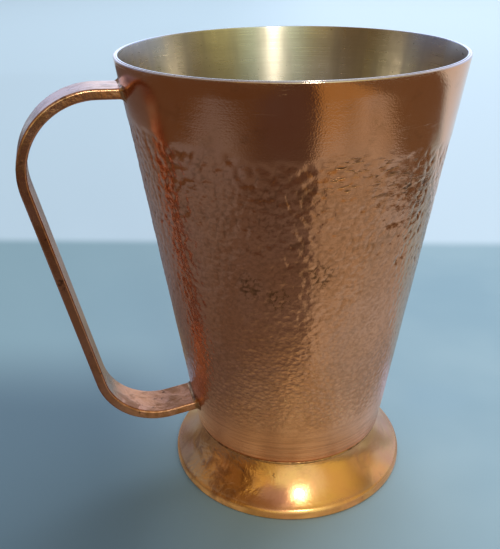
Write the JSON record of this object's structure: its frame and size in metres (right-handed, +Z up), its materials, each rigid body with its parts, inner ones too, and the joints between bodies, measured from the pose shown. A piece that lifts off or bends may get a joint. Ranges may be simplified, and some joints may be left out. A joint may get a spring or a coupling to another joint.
{
  "type": "footed metal mug",
  "caption": "Tall tapered hammered copper mug with a pale metal lining, a low flared foot and a flat bent strap handle.",
  "frame": {"origin": "on the table under the middle of the whole length, handle included", "axes": "+Z up along the cup's axis, the handle pointing to -X, symmetric about the XZ plane"},
  "size_m": [0.1229, 0.095, 0.1326],
  "materials": {
    "hammered_copper": "hammered, lightly tarnished and scratched, with a smooth polished band under the rim",
    "polished_copper": "polished, with fine wear",
    "pale_lining": "finely brushed around the axis",
    "braze": "dull bead, rubbed smooth"
  },
  "bodies": {
    "root": {"cup_shell": "hammered_copper", "cup_lining": "pale_lining", "foot_pedestal": "polished_copper", "foot_solder_ring": "braze", "handle_strap": "polished_copper", "handle_solder_upper": "braze", "handle_solder_lower": "braze"}
  },
  "joints": []
}
